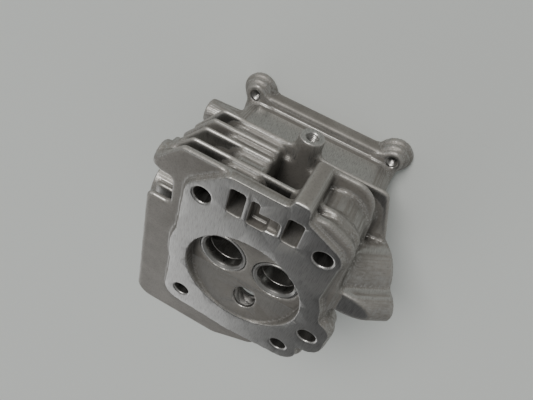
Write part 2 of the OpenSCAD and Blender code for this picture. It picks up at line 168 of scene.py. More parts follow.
def ball(centre, radius):
    low = tuple(c - radius for c in centre)
    high = tuple(c + radius for c in centre)
    return low, high, lambda x, y, z: np.sqrt(
        (x - centre[0]) ** 2 + (y - centre[1]) ** 2 + (z - centre[2]) ** 2) - radius


def turned(frameAxes, origin, shape2d, z0, z1, reach, edge=0.0):
    # an outline pulled along a slanting axis; frameAxes are the local x, y and z directions
    ex, ey, ez = (np.array(v, float) for v in frameAxes)
    origin = np.array(origin, float)
    corners = [origin + ex * i * reach + ey * j * reach + ez * k
               for i in (-1, 1) for j in (-1, 1) for k in (z0, z1)]
    low, high = np.min(corners, axis=0), np.max(corners, axis=0)
    middle, half = (z0 + z1) / 2, (z1 - z0) / 2

    def distance(x, y, z):
        px, py, pz = x - origin[0], y - origin[1], z - origin[2]
        a = px * ex[0] + py * ex[1] + pz * ex[2]
        b = px * ey[0] + py * ey[1] + pz * ey[2]
        c = px * ez[0] + py * ez[1] + pz * ez[2]
        return both(shape2d(a, b), np.abs(c - middle) - half, edge)
    return low, high, distance


def ballOffsets(radius):
    # the grid steps within a radius, nearest first
    n = int(math.ceil(radius / step))
    grid = np.stack(np.meshgrid(*[np.arange(-n, n + 1)] * 3, indexing="ij"), -1).reshape(-1, 3)
    length = np.sqrt((grid ** 2).sum(1)) * step
    near = length <= radius + 0.3 * step
    order = np.argsort(length[near])
    return grid[near][order], length[near][order]


def distanceTo(source, reach):
    # for every point, the distance to the set where source <= 0, where source holds minus the
    # distance already inside that set: the least of |offset| + source over the grid steps
    result = np.full_like(source, reach + step)
    n = source.shape
    for (i, j, k), length in zip(*ballOffsets(reach)):
        here = tuple(slice(max(0, -o), min(s, s - o)) for o, s in zip((i, j, k), n))
        there = tuple(slice(max(0, o), min(s, s + o)) for o, s in zip((i, j, k), n))
        np.minimum(result[here], source[there] + np.float32(length), out=result[here])
    return result


def closeCorners(radius, depth):
    # swell the solid by the radius and shrink it again, which leaves a fillet of that radius in
    # every hollow corner; depth is how far inside the result stays a true distance
    global field
    outside = np.where(field >= radius, radius - field, np.float32(50))
    inner = distanceTo(outside, radius + depth)
    field = np.where(field >= radius, field, radius - inner).astype(np.float32)


def soften(times):
    # a running mean over three steps each way, which takes the stairs out of the field
    global field
    for axis in [0, 1, 2] * times:
        f = np.moveaxis(field, axis, 0)
        mean = f.copy()
        mean[1:-1] = f[1:-1] / 2 + (f[:-2] + f[2:]) / 4
        field = np.moveaxis(mean, 0, axis)
    field = np.ascontiguousarray(field)


def roundEdges(radius):
    # shrink and swell, which rounds every outer edge
    global field
    inside = np.where(field <= -radius, radius + field, np.float32(50))
    grown = distanceTo(inside, radius + 1.5 * step)
    near = np.abs(field) < radius + step
    field = np.where(near, grown - radius, field).astype(np.float32)


c = casting
boreRadius, floorZ = c["boreRadius"], c["boxFloor"]
levels, fin, top = c["finLevels"], c["fin"], c["finTop"]
deckHeight, headHeight = c["deckHeight"], c["headHeight"]

# the raised deck pad, seen from the deck
padRings = [
    [(34.6, -41.6, 10.5), (31, 48, 10), (-30.5, 49.5, 9.2), (-28, -30, 12)],
    [(-34, -39.5, 11.5), (0, -30, 24.2), (34.6, -41.6, 10.5), (20, 0, 12), (-20, 0, 12)],
    [(-45.2, -20, 10.3), (-30, -20, 10), (-30, -2, 8), (-45.5, -6, 9.3)],
    [(30.4, 49.3, 9.6), (18.6, top - 4, 4.3), (-12, top - 4, 4.3), (-31, 50.8, 9.4)]]
block = dict(ring=[(-12, 50, 3), (-10, 74.6, 1), (-15.8, 72.8, 2.8), (-15.6, 50, 3)], top=32.5)


def lowFin(low, slotY):
    left = 67.5
    return [[(left - 10.5, 10.5 - low, 10.5), (left - 7.1, slotY - 3.5, 3.5), (0, slotY - 3.5, 3.5),
             (-13, 19 - low, 8), (9, 7.5 - low, 7.5)],
            [(48.5, slotY - 3, 1), (48.5, 60, 1), (20, 60, 1), (20, slotY - 3, 1)]]


lobe = [(54.6, 53.3, 5.6), (45.4, top - 1.6, 1.6), (10, top - 3, 3), (10, 51, 3)]
sideWall = [(20, top - 8, 8), (-25, top - 9, 8.5), (-33.9, 56, 9), (-35, 30, 10),
            (-34.5, -38, 14), (20, -40, 14.6)]
highWall = [(20, 44, 8), (-33, 50, 8.5), (-35, 30, 10), (-34.5, -39, 14.8), (20, -40, 15)]


def topFin(low, left):
    return [(left - 9, 9 - low, 9), (left - 3.4, 50, 3.4), (45, top - 1.6, 1.6),
            (10, top - 3, 3), (-10, 8 - low, 8)]


def addAll(rings, z0, z1):
    for ring in rings:
        add(slab(ring, z0, z1))


def makeFins():
    z = levels
    addAll(lowFin(76, 29) + [lobe, sideWall,
                             [(-45.4, -20, 11.4), (-30, -20, 10.5), (-30, -2, 8), (-45.8, -6, 10.6)],
                             [(-30, -41, 12.4), (8, -58, 11), (20, 0, 10), (-20, 0, 10)]],
           z[0], z[0] + c["firstFin"])
    addAll(lowFin(68, 29) + [lobe, sideWall], z[1], z[1] + fin)
    addAll(lowFin(60, 26) + [highWall, [(20, 42, 4), (58.1, 50, 3.4), (45, top - 1.6, 1.6),
                                        (10, top - 3, 3)]],
           z[2], z[2] + fin)
    addAll([topFin(52, 61.5),
            [(-12.4, -30, 3), (-12.4, 72, 3), (-29, 61, 14), (-38, 30, 10), (-34.5, -36, 12)]],
           z[3], z[3] + fin)
    addAll([topFin(44, 60.5),
            [(20, top - 8, 8), (-43, top - 4.5, 4), (-51.5, 42, 4.5), (-50, 8, 6),
             (-34.5, -30, 10), (20, -34, 10)]],
           z[4], z[4] + fin)


def makeBody():
    low, up = deckHeight, levels[4] + 0.5
    add(slab([(31, -30, 10), (31, 44, 10), (-31, 44, 10), (-33, -30, 10)], low, up))
    for s in (-1, 1):
        add(slab([(s * 31.4, 50.4, 10), (s * 28, 40, 10)], low, up))
        add(slab([(s * 33.5, -38.3, 9), (s * 26, -20, 9)], low, 43.6))
    # pushrod tunnels, the block between them and the smooth shoulder on the exhaust side
    add(slab([(23, 62, 4.3), (11.9, 63.3, 3), (11.9, 40, 3), (23, 40, 4.3)], low, up))
    add(slab([(32, 61.5, 4.6), (20, 62, 4.3), (20, 50, 4.3), (32, 50, 4.6)], levels[2], up))
    add(slab(block["ring"], -c["spare"], block["top"]))
    add(slab([(-28, 53.8, 13), (-30, 45, 12)], low, levels[3] + 1))
    add(slab([(-14, 40, 3), (-33.9, 53.6, 8.4), (-35.2, 30, 10.2), (-35.4, -10, 12.6),
              (-14, 0, 3)], low, levels[3]))
    add(slab([(-45.2, -20, 10.7), (-30, -20, 10.4), (-30, -2, 8.2), (-45.6, -6, 9.8)], low, 15))


def boxRing(inset, r):
    x, y0, y1 = c["boxHalf"] - r, c["boxLow"] + r, c["boxTop"] - r
    return [(x, y0, r - inset), (x, y1, r - inset), (-x, y1, r - inset), (-x, y0, r - inset)]


def makeBox():
    out, r = c["lipOut"], 12
    x, y0, y1 = c["boxHalf"] - r, c["boxLow"] + r - out, c["boxTop"] - r + out
    above = headHeight + c["spare"]
    add(slab(boxRing(0, 12), levels[4], above))
    add(slab([(x, y0, r), (x, y1, r), (-x, y1, r), (-x, y0, r)], headHeight - c["lipHeight"], above))
    add(slab(boxRing(1, 11), levels[3], levels[4] + 1))


def makeEars(drops):
    # cover bolt ears: nested rings stepping down from the cover face
    for s in (-1, 1):
        for y in (c["earLow"], c["earTop"]):
            root = (s * (c["earX"] - 9), y + (-14 if y > 0 else 14), 9)
            for drop, radius in drops:
                add(slab([(s * c["earX"], y, radius), root], headHeight - drop, headHeight + c["spare"]))


# the exhaust flange's own axes: its long side, its short side and the way out of the port
tilt = math.radians(c["exhaustTilt"])
exhaustAxes = ((math.sin(tilt), 0, math.cos(tilt)), (0, 1, 0), (-math.cos(tilt), 0, math.sin(tilt)))


def intakeStudPlace(s):
    # from the port's middle to the stud s (1 or -1): reach * (cos, sin) of the slant
    slant, reach = math.radians(c["intakeStudSlant"]), s * c["intakeStudReach"]
    return reach * math.cos(slant), reach * math.sin(slant)


def exhaustStudPlace(s):
    # the port's middle plus s times the offset along the flange's long and short sides
    along, across = c["exhaustStud"]
    offset = along * np.array(exhaustAxes[0]) + across * np.array([0, 1, 0])
    return np.array(c["exhaustPort"]) + s * offset


def makePorts():
    x, y, r = c["valveX"], c["valveY"], c["portRadius"]
    iy, iz = c["intakePort"]
    face = c["intakeFace"]
    add(rod((x, y, c["portBend"]), (face - 8, iy, iz), r + 4.5))
    add(rod((face - 26, iy, iz), (face + c["spare"], iy, iz), r + 4.5))
    sy, sz = intakeStudPlace(1)
    flange = [(-sz, -sy, 7.2), (sz, sy, 7.2)]
    add(turned(((0, 0, 1), (0, 1, 0), (-1, 0, 0)), (face, iy, iz),
               lambda u, v: ringDistance(flange, u, v), -c["spare"], 26, 30))
    # the exhaust neck is cut level behind the deck pad
    for shape in exhaustShapes():
        low, high, distance = shape
        add((low, high, lambda px, py, pz, d=distance: np.maximum(
            d(px, py, pz), deckHeight + 1.5 - pz)))


def exhaustShapes():
    x, y, r = c["valveX"], c["valveY"], c["portRadius"]
    ex, ey, ez = c["exhaustPort"]
    along, across = c["exhaustStud"]

    def flange(u, v):
        # slimmer between the lobes and the round middle than their common outline
        middle = np.hypot(u, v) - (r + 5.5)
        link = ringDistance([(along, across, 6.4), (-along, -across, 6.4)], u, v)
        lobes = np.minimum(np.hypot(u - along, v - across), np.hypot(u + along, v + across)) - 8.4
        return np.minimum(np.minimum(link, middle), lobes)
    return [rod((-x, y, 20), (ex + 9, ey, ez - 4), r + 4.5),
            turned(exhaustAxes, (ex, ey, ez), flange, -38, c["spare"], 34)]


# the way from the plug hole's foot out through its socket
plugTilt = math.radians(c["plugAngle"])
plugLine = np.array([0, -math.sin(plugTilt), math.cos(plugTilt)])


def makeBosses():
    bx, bz = c["bracket"]
    add(slab([(-8, 36, 2), (8, 36, 2), (8, 60, 2), (-8, 60, 2)], 36, levels[4] + 1))
    add(rod((bx, 40, bz), (bx, 77 + c["spare"], bz), 8.2, 6.5))
    for height, y in c["sideBosses"]:
        add(rod((40, y, height), (61 + c["spare"], y, height), 7.9, 7.2))
    foot = np.array(c["plugFoot"])
    add(rod(foot + 9 * plugLine, foot + (c["plugReach"] + 5) * plugLine, 14))



def castHollows():
    # hollows left by the mould, with soft edges
    cut(brick((-9, 34, levels[1] + fin), (8.9, 140, 36), 2.2))
    cut(brick((49.5, 29, -20), (90, 47, levels[2] + fin + 0.5), 2.5))
    foot = np.array(c["plugFoot"])
    cut(rod(foot + c["plugReach"] * plugLine, foot + (c["plugReach"] + 60) * plugLine, 11))
    # the inside of the rocker box, leaving the bosses on its floor
    low, high, inner = slab(boxRing(c["boxWall"], 9), floorZ, headHeight + 5, 1.5)
    bosses = [rod((s * x, y, 30), (s * x, y, up), r) for s in (-1, 1) for x, y, up, r in (
        (c["valveX"], c["valveY"], floorZ + 2.4, 8.5), (*c["rockerStud"], floorZ + 9, 7.4),
        (*c["upperBolt"], floorZ + 1.2, 8.4))]

    def boxSpace(x, y, z):
        d = inner(x, y, z)
        for _, _, boss in bosses:
            d = np.maximum(d, -boss(x, y, z))
        return d
    cut((low, high, boxSpace))


def chamberSpace(x, y, z):
    # a round mouth, a flat roof over the valves and a slope running out on the plug side
    roof = z - c["roofDepth"]
    run = boreRadius + c["roofBend"]
    rise = c["roofDepth"] - c["squish"]
    slope = (z - c["roofDepth"] - (y - c["roofBend"]) * rise / run) / math.hypot(1, rise / run)
    return both(np.hypot(x, y) - boreRadius, np.maximum(roof, slope), 0.4)


def bore(x, y, radius, depth, chamfer=0.7):
    cut(rod((x, y, -4), (x, y, depth), radius))
    cut(rod((x, y, -1.5), (x, y, chamfer), radius + chamfer + 1.5, radius))


def coredHollows():
    # hollows with a cast skin that open on a machined face
    cut(((-boreRadius, -boreRadius, -2), (boreRadius, boreRadius, c["roofDepth"]), chamberSpace))
    for s in (-1, 1):
        cut(brick((s * 14.4 - 3.9, 48.7, -5), (s * 14.4 + 3.9, 64.1, floorZ + 2), 1.4))
    cut(brick((-2, 48, -5), (7.4, 58, 6), 1.4))
    cut(brick((3.2, 48, -5), (7.4, 63.4, 6), 1.4))
    cut(brick((-8, 49.5, -5), (0, 58.1, 3), 1.4))
    x, y, r = c["valveX"], c["valveY"], c["portRadius"]
    iy, iz = c["intakePort"]
    out, port = np.array(exhaustAxes[2]), np.array(c["exhaustPort"])
    cut(rod((x, y, c["portBend"]), (c["intakeFace"] - 14, iy, iz), r - 1.5))
    cut(rod((-x, y, 21), port - 14 * out, r - 1.5))


def machine():
    # faces and holes cut after casting: crisp edges
    everywhere = (c["low"], c["high"])
    cut((*everywhere, lambda x, y, z: z + 0 * x + 0 * y), 0)
    cut((*everywhere, lambda x, y, z: headHeight - z + 0 * x + 0 * y), 0)
    cut(((66, -20, -20), (72, 50, 70), lambda x, y, z: c["intakeFace"] - x + 0 * y + 0 * z), 0)
    cut(((-20, 74, 20), (20, 81, 60), lambda x, y, z: 77 - y + 0 * x + 0 * z), 0)
    cut(((58, 43.4, 0), (64, 62, 70), lambda x, y, z: 61 - x + 0 * y + 0 * z), 0)
    ex, ey, ez = c["exhaustPort"]
    cut(turned(exhaustAxes, (ex, ey, ez),
               lambda u, v: np.maximum(np.abs(u) - 30, np.abs(v) - 19), 0, 2.5, 31), 1)
    for s, seat, throat in zip((1, -1), c["seatRadii"], c["throatRadii"]):
        x, y = s * c["valveX"], c["valveY"]
        cut(rod((x, y, 0), (x, y, c["roofDepth"] + c["seatHeight"]), seat))
        cut(rod((x, y, 0), (x, y, c["portBend"]), throat))
        cut(ball((x, y, c["portBend"]), throat))
        cut(rod((x, y, 20), (x, y, 60), c["guideRadius"]))
        for (bx, by), depth in ((c["upperBolt"], floorZ + 4), (c["lowerBolt"], 46)):
            bore(s * bx, by, c["boltHole"], depth)
    bore(*c["dowel"])
    # ports and studs
    r, face = c["portRadius"], c["intakeFace"]
    tap6, tap8 = c["tapM6"], c["tapM8"]
    rockerX, rockerY = c["rockerStud"]
    iy, iz = c["intakePort"]
    cut(rod((face - 15, iy, iz), (face + 2, iy, iz), r))
    out = np.array(exhaustAxes[2])
    port = np.array((ex, ey, ez))
    cut(rod(port - 15 * out, port + 2 * out, r))
    for s in (-1, 1):
        sy, sz = intakeStudPlace(s)
        cut(rod((face - 14, iy + sy, iz + sz), (face + 2, iy + sy, iz + sz), tap6))
        stud = exhaustStudPlace(s)
        cut(rod(stud - 14 * out, stud + 2 * out, tap8))
        cut(rod((s * rockerX, rockerY, floorZ - 5), (s * rockerX, rockerY, floorZ + 12), tap8))
        for earY in (c["earLow"], c["earTop"]):
            earX = s * c["earX"]
            cut(rod((earX, earY, headHeight - 11), (earX, earY, headHeight + 2), tap6))
    bx, bz = c["bracket"]
    cut(rod((bx, 65, bz), (bx, 79, bz), tap6))
    cut(rod((bx, 76.3, bz), (bx, 79, bz), tap6, 6.0))
    for height, y2 in c["sideBosses"]:
        cut(rod((47, y2, height), (63, y2, height), tap6))
    foot = np.array(c["plugFoot"])
    cut(rod(foot - 8 * plugLine, foot + (c["plugReach"] + 1) * plugLine, c["plugRadius"]))


def surfaceOf(values):
    # surface nets: one point in each grid cell that the surface crosses, at the mean of its edge
    # crossings, and one four-sided face across each crossed grid edge
    inside = values < 0
    size = np.array(values.shape)
    cells = size - 1
    crossed, number = [], np.full(cells.prod(), -1, np.int32)
    for axis in range(3):
        near = [slice(None)] * 3
        far = [slice(None)] * 3
        near[axis], far[axis] = slice(0, -1), slice(1, None)
        at = np.argwhere(inside[tuple(near)] != inside[tuple(far)])
        at = at[((at > 0) | (np.arange(3) == axis)).all(1) & ((at < cells) | (np.arange(3) == axis)).all(1)]
        ahead = at.copy()
        ahead[:, axis] += 1
        a, b = values[tuple(at.T)], values[tuple(ahead.T)]
        point = at.astype(np.float64)
        point[:, axis] += a / (a - b)
        others = [k for k in range(3) if k != axis]
        around = []
        for u, v in ((-1, -1), (0, -1), (0, 0), (-1, 0)):
            cell = at.copy()
            cell[:, others[0]] += u
            cell[:, others[1]] += v
            around.append((cell * np.array([cells[1] * cells[2], cells[2], 1])).sum(1))
        around = np.stack(around, 1)
        # the face's order turns over where the solid lies ahead of the edge, and for the y axis
        turn = (a < 0) ^ (axis == 1)
        crossed.append((point, around, turn))
    used = np.unique(np.concatenate([q[1].ravel() for q in crossed]))
    number[used] = np.arange(len(used), dtype=np.int32)
    total, count, faces = np.zeros((len(used), 3)), np.zeros(len(used)), []
    for point, around, turn in crossed:
        ids = number[around]
        for k in range(4):
            count += np.bincount(ids[:, k], minlength=len(used))
            for m in range(3):
                total[:, m] += np.bincount(ids[:, k], weights=point[:, m], minlength=len(used))
        faces.append(np.where(turn[:, None], ids, ids[:, ::-1]))
    points = total / count[:, None] * step + np.array([a[0] for a in axes])
    return points, np.concatenate(faces)


def relax(points, faces, share, times):
    # move each point towards the mean of its neighbours by its own share
    a = faces.ravel()
    b = np.roll(faces, -1, axis=1).ravel()
    count = np.bincount(a, minlength=len(points)) + np.bincount(b, minlength=len(points))
    for _ in range(times):
        mean = np.stack([np.bincount(a, points[b, k], len(points)) + np.bincount(b, points[a, k], len(points))
                         for k in range(3)], 1) / count[:, None]
        points = points + (mean - points) * share[:, None]
    return points


def newMesh(name, points, faces):
    mesh = bpy.data.meshes.new(name)
    sides = faces.shape[1]
    mesh.vertices.add(len(points))
    mesh.vertices.foreach_set("co", np.ascontiguousarray(points, dtype=np.float32).ravel())
    mesh.loops.add(faces.size)
    mesh.loops.foreach_set("vertex_index", np.ascontiguousarray(faces, dtype=np.int32).ravel())
    mesh.polygons.add(len(faces))
    mesh.polygons.foreach_set("loop_start", np.arange(0, faces.size, sides, dtype=np.int32))
    mesh.update(calc_edges=True)
    piece = bpy.data.objects.new(name, mesh)
    bpy.context.scene.collection.objects.link(piece)
    return piece


def setValues(piece, name, values):
    layer = piece.data.attributes.new(name, "FLOAT", "POINT")
    layer.data.foreach_set("value", values.astype(np.float32))


def cellOf(points):
    low = np.array([a[0] for a in axes])
    at = np.round((points - low) / step).astype(int)
    return tuple(np.clip(at, 0, np.array(field.shape) - 1).T)


def sample(values, points):
    return values[cellOf(points)]


def hollowness(points):
    # the share of metal in a small box round each point: half on a flat face, more in a corner
    # and less on an edge; the box mean comes from running sums along each axis. It places the painted shade and
    # painted highlight of the cast colour
    share = (field < 0).astype(np.float32)
    n = max(2, int(round(c["shadeReach"] / step)))
    for axis in range(3):
        total = np.cumsum(share, axis=axis)
        ahead = np.take(total, np.minimum(np.arange(share.shape[axis]) + n, share.shape[axis] - 1), axis=axis)
        behind = np.take(total, np.maximum(np.arange(share.shape[axis]) - n - 1, 0), axis=axis)
        share = (ahead - behind) / (2 * n + 1)
    return sample(share, points)


def buildCasting():
    makeFins()
    makeBody()
    makeBox()
    makeEars([(9.4, 6.2)])
    makePorts()
    makeBosses()
    addAll(padRings + [[(0, 0, boreRadius + 11.6), (0.01, 0, boreRadius + 11.6)]],
           -c["spare"], deckHeight + 0.5)
    print("casting: shapes joined")
    closeCorners(c["fillet"], c["edge"] + step)
    soften(2)
    print("casting: corners filled")
    makeEars([(3.4, 9.8), (6.4, 8.1)])
    castHollows()
    roundEdges(c["edge"])
    soften(2)
    coredHollows()
    print("casting: edges rounded")
    before = field.copy()
    machine()
    points, faces = surfaceOf(field)
    # a point that lay inside the metal before machining is on a machined face
    machined = np.clip(-sample(before, points) / (0.5 * step), 0, 1)
    points = relax(points, faces, 0.6 * (sample(np.abs(field - before), points) < 0.1), 3)
    piece = newMesh("casting_skin", toFrame(points), faces)
    setValues(piece, "machined", machined)
    setValues(piece, "hollow", hollowness(points))
    print("casting: surface of", len(faces), "faces")
    thin = piece.modifiers.new("thin", "DECIMATE")
    thin.ratio = min(1.0, c["triangles"] / (2 * len(faces)))
    lean = bpy.data.meshes.new_from_object(piece.evaluated_get(bpy.context.evaluated_depsgraph_get()))
    piece.modifiers.clear()
    piece.data = lean
    print("casting: thinned to", sum(len(p.vertices) - 2 for p in lean.polygons), "triangles")
    return piece


castingSkin = buildCasting()

castingSkin.data.polygons.foreach_set("use_smooth", np.ones(len(castingSkin.data.polygons), dtype=bool))
flat = castingSkin.modifiers.new("flat_faces", "WEIGHTED_NORMAL")
flat.weight, flat.keep_sharp = 50, False

# valve seats, turned on a lathe and ground in three angles

seats = dict(land=0.35, gap=0.18, segments=120,
             intake=dict(x=c["valveX"], outer=c["seatRadii"][0], valve=12.4,
                         throat=c["throatRadii"][0]),
             exhaust=dict(x=-c["valveX"], outer=c["seatRadii"][1], valve=11.9,
                          throat=c["throatRadii"][1]))


def turnedPiece(name, profile, centre, segments):
    # a closed outline (radius, height) turned round the z axis
    profile = np.array(profile, float)
    count = len(profile)
    angle = np.linspace(0, 2 * math.pi, segments, endpoint=False)
    points = np.stack([profile[None, :, 0] * np.cos(angle)[:, None] + centre[0],
                       profile[None, :, 0] * np.sin(angle)[:, None] + centre[1],
                       np.broadcast_to(profile[None, :, 1] + centre[2], (segments, count))], -1).reshape(-1, 3)
    i, j = np.meshgrid(np.arange(segments), np.arange(count), indexing="ij")
    nextI, nextJ = (i + 1) % segments, (j + 1) % count
    faces = np.stack([i * count + j, i * count + nextJ, nextI * count + nextJ, nextI * count + j], -1)
    return newMesh(name, toFrame(points), faces.reshape(-1, 4))


def smooth(piece, angle):
    mesh = piece.data
    mesh.polygons.foreach_set("use_smooth", np.ones(len(mesh.polygons), dtype=bool))
    mesh.set_sharp_from_angle(angle=math.radians(angle))


def makeSeat(name, s):
    z, height = c["roofDepth"], c["seatHeight"]
    outer, valve, throat = s["outer"] - seats["gap"], s["valve"], s["throat"]
    lip = valve - seats["land"]
    inner = valve - 1.15
    # clockwise in (radius, height): chamfered rim, flat ring, shallow cut, bright 45 degree
    # face, steep throat cut, throat wall, top and outer wall
    profile = [(outer, 0.35), (outer - 0.35, 0), (valve + 0.25, 0), (lip + 0.35, 0.22), (inner + 0.15, 1.0),
               (inner - 0.1, 1.5), (throat + 0.12, 2.6), (throat, 3.4), (throat, height), (outer, height)]
    piece = turnedPiece(name, profile, (s["x"], c["valveY"], z), seats["segments"])
    smooth(piece, 24)
    return piece


intakeSeat = makeSeat("intake_seat_ring", seats["intake"])
exhaustSeat = makeSeat("exhaust_seat_ring", seats["exhaust"])
print("seats made")

# screw threads in the tapped holes

# each thread's major radius, pitch and depth
threads = dict(segments=40, rowsPerTurn=6, shell=0.7,
               m6=(3.0, 1.0, 0.55), m8=(4.0, 1.25, 0.68), plug=(7.0, 1.25, 0.72))


def threadTube(start, end, major, pitch, depth):
    # a tube whose inner wall is cut by one turning groove: the inner radius at height h and
    # angle a swings with the distance of (h / pitch - a / turn) from the nearest whole number
    start, end = np.array(start, float), np.array(end, float)
    length = float(np.linalg.norm(end - start))
    w = (end - start) / length
    u = np.cross(w, (0.0, 0.0, 1.0)) if abs(w[2]) < 0.9 else np.cross(w, (1.0, 0.0, 0.0))
    u /= np.linalg.norm(u)
    v = np.cross(w, u)
    rows = int(length / pitch * threads["rowsPerTurn"])
    segments = threads["segments"]
    h = np.linspace(0, length, rows)[:, None]
    a = np.linspace(0, 2 * math.pi, segments, endpoint=False)[None, :]
    phase = h / pitch - a / (2 * math.pi)
    wave = np.abs(phase - np.round(phase)) * 2
    fade = np.clip(np.minimum(h, length - h) / pitch, 0, 1)
    inner = major - depth * np.clip(1.25 * wave - 0.1, 0, 1) * fade + 0 * a
    outer = np.full_like(inner, major + threads["shell"])
    radius = np.concatenate([inner, outer[::-1]])
    height = np.concatenate([h, h[::-1]]) + 0 * a
    points = (start + height[..., None] * w + (radius * np.cos(a))[..., None] * u
              + (radius * np.sin(a))[..., None] * v).reshape(-1, 3)
    total = 2 * rows
    i, j = np.meshgrid(np.arange(total), np.arange(segments), indexing="ij")
    nextI, nextJ = (i + 1) % total, (j + 1) % segments
    faces = np.stack([i * segments + j, nextI * segments + j,
                      nextI * segments + nextJ, i * segments + nextJ], -1)
    return points, faces.reshape(-1, 4)


def makeThreads():
    m6, m8 = threads["m6"], threads["m8"]
    iy, iz = c["intakePort"]
    bx, bz = c["bracket"]
    rockerX, rockerY = c["rockerStud"]
    face, out = c["intakeFace"], np.array(exhaustAxes[2])
    foot = np.array(c["plugFoot"])
    plugEnd = foot + (c["plugReach"] - 1) * plugLine
    tubes = [threadTube(foot + 2.6 * plugLine, plugEnd, *threads["plug"]),
             threadTube((bx, 65.4, bz), (bx, 76.3, bz), *m6)]
    for height, y in c["sideBosses"]:
        tubes.append(threadTube((47.4, y, height), (60.3, y, height), *m6))
    for s in (-1, 1):
        sy, sz = intakeStudPlace(s)
        tubes.append(threadTube((face - 13.4, iy + sy, iz + sz),
                                (face - 0.8, iy + sy, iz + sz), *m6))
        stud = exhaustStudPlace(s)
        tubes.append(threadTube(stud - 13.4 * out, stud - 0.8 * out, *m8))
        tubes.append(threadTube((s * rockerX, rockerY, floorZ - 4.6),
                                (s * rockerX, rockerY, floorZ + 8.4), *m8))
        for y in (c["earLow"], c["earTop"]):
            earX = s * c["earX"]
            tubes.append(threadTube((earX, y, headHeight - 8.6), (earX, y, headHeight - 0.7), *m6))
    points, faces, used = [], [], 0
    for p, f in tubes:
        points.append(p)
        faces.append(f + used)
        used += len(p)
    piece = newMesh("thread_walls", toFrame(np.concatenate(points)), np.concatenate(faces))
    smooth(piece, 50)
    return piece


threadWalls = makeThreads()
print("threads made:", len(threadWalls.data.polygons), "faces")


# materials


class Nodes:
    # a small helper to wire shader nodes
    def __init__(self, name):
        self.material = bpy.data.materials.new(name)
        self.material.use_nodes = True
        self.tree = self.material.node_tree
        self.tree.nodes.clear()
        self.output = self.tree.nodes.new("ShaderNodeOutputMaterial")
        self.shader = self.tree.nodes.new("ShaderNodeBsdfPrincipled")
        self.tree.links.new(self.shader.outputs[0], self.output.inputs[0])

    def put(self, socket, value):
        if isinstance(value, bpy.types.NodeSocket):
            self.tree.links.new(value, socket)
        else:
            socket.default_value = value

    def make(self, kind, inputs=(), result=0, **settings):
        node = self.tree.nodes.new(kind)
        for key, value in settings.items():
            setattr(node, key, value)
        for key, value in dict(inputs).items():
            self.put(node.inputs[key], value)
        return node.outputs[result]

    def sum(self, operation, a, b=0.0, clamp=False):
        return self.make("ShaderNodeMath", {0: a, 1: b}, operation=operation, use_clamp=clamp)

    def noise(self, scale, detail=4.0, rough=0.55, stretch=None):
        where = self.make("ShaderNodeTexCoord", result=3)
        if stretch:
            where = self.make("ShaderNodeMapping", {"Vector": where, "Scale": stretch})
        return self.make("ShaderNodeTexNoise", {"Vector": where, "Scale": scale,
                                                "Detail": detail, "Roughness": rough})

    def ramp(self, value, low, high, a=0.0, b=1.0):
        return self.make("ShaderNodeMapRange", {"Value": value, "From Min": low, "From Max": high,
                                                "To Min": a, "To Max": b})

    def mix(self, factor, a, b):
        node = self.tree.nodes.new("ShaderNodeMix")
        node.data_type = "RGBA"
        colours = [q for q in node.inputs if q.type == "RGBA"]
        self.put(node.inputs[0], factor)
        self.put(colours[0], a)
        self.put(colours[1], b)
        return [q for q in node.outputs if q.type == "RGBA"][0]

    def attribute(self, name):
        return self.make("ShaderNodeAttribute", result=2, attribute_name=name)


# the darkest cast colour serves both as painted shade in corners and recesses and as the dark of grain pits and
# machined streaks; the edge colour is a painted highlight
skin = dict(cast=(0.170, 0.159, 0.145, 1), castLight=(0.225, 0.212, 0.195, 1),
            darkMarksAndShade=(0.045, 0.041, 0.037, 1), castEdgeHighlight=(0.36, 0.345, 0.32, 1),
            milled=(0.47, 0.462, 0.447, 1), milledDark=(0.37, 0.362, 0.35, 1),
            castRough=0.52, milledRough=0.34, castMetal=0.55, milledMetal=1.0,
            grain=0.00009, pits=0.00016, marks=0.000012)


